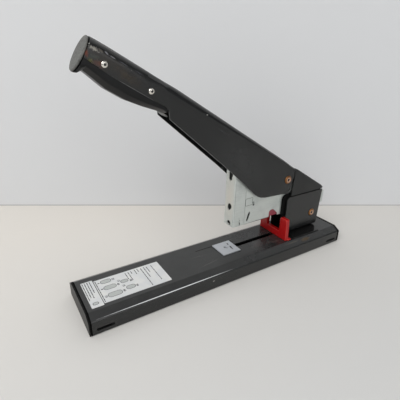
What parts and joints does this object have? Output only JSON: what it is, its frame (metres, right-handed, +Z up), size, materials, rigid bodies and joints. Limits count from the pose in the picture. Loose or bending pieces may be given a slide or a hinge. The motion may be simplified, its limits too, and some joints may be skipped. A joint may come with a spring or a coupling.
{
  "type": "heavy-duty stapler",
  "caption": "Lever stapler for thick stacks: long base with anvil and sliding paper guide, hinged magazine head and a long handle with a grip.",
  "frame": {"origin": "under the middle of the base, on the surface that the rubber feet stand on", "axes": "+X runs along the base to its hinge end, +Y is the far side, +Z is up; the nose and the grip point to -X"},
  "size_m": [0.29, 0.0588, 0.2129],
  "materials": {
    "dark_paint": "satin dark grey paint, worn at the edges",
    "black_paint": "black paint",
    "plated_steel": "dull plated steel",
    "bright_steel": "bright steel",
    "spring_steel": "spring wire",
    "brass_plate": "dull yellow plating",
    "red_plastic": "red moulded plastic",
    "black_plastic": "black moulded plastic",
    "grey_plastic": "grey moulded plastic",
    "cover_plastic": "dark grey moulded plastic",
    "rubber": "black rubber"
  },
  "bodies": {
    "base": {"base_shell": "dark_paint", "base_bottom_plate": "black_paint", "front_end_cap": "black_plastic", "rear_end_cap": "black_plastic", "foot_front_near": "rubber", "foot_front_far": "rubber", "foot_rear_near": "rubber", "foot_rear_far": "rubber", "foot_plate": "black_paint", "rear_frame": "dark_paint", "guide_bracket": "black_paint", "rear_cover": "cover_plastic", "hinge_pin": "brass_plate", "mounting_rivet_1": "plated_steel", "mounting_rivet_2": "plated_steel", "anvil_plate": "plated_steel", "head_spring": "spring_steel"},
    "head": {"magazine_body": "plated_steel", "nose_cover": "plated_steel", "staple_rail": "plated_steel", "staple_strip": "bright_steel", "tail_plug": "black_plastic", "handle_spring": "spring_steel"},
    "handle": {"handle_shell": "dark_paint", "drive_arm": "black_paint", "arm_crossbar": "plated_steel", "drive_pin": "bright_steel", "pivot_rivet": "brass_plate", "grip": "black_plastic", "grip_insert": "grey_plastic", "grip_rivet_1": "bright_steel", "grip_rivet_2": "bright_steel"},
    "driver": {"driver_blade": "bright_steel"},
    "pusher_body": {"pusher": "red_plastic"},
    "guide": {"paper_guide": "red_plastic", "guide_clamp": "plated_steel"}
  },
  "joints": [
    {"name": "head_hinge", "type": "hinge", "parent": "base", "child": "head", "pos_m": [0.113, 0, 0.0376], "axis": [0, -1, 0], "range_deg": [0, 13.5], "stiffness_Nm_per_rad": 6, "springref_deg": -20.05, "deforming": ["head_spring"]},
    {"name": "handle_hinge", "type": "hinge", "parent": "head", "child": "handle", "pos_m": [0.0695, 0, 0.0846], "axis": [0, -1, 0], "range_deg": [0, 13.1], "stiffness_Nm_per_rad": 3, "springref_deg": -20.05, "deforming": ["handle_spring"]},
    {"name": "driver_slide", "type": "slide", "parent": "head", "child": "driver", "axis": [0, 0, -1], "range_m": [0, 0.0135]},
    {"name": "pusher_slide", "type": "slide", "parent": "head", "child": "pusher_body", "axis": [1, 0, 0], "range_m": [0, 0.055], "stiffness_N_per_m": 60, "springref_m": -0.03},
    {"name": "guide_slide", "type": "slide", "parent": "base", "child": "guide", "axis": [-1, 0, 0], "range_m": [0, 0.03]}
  ],
  "couplings": [
    {"joint": "driver_slide", "follows": "handle_hinge", "m_per_rad": 0.0586}
  ]
}
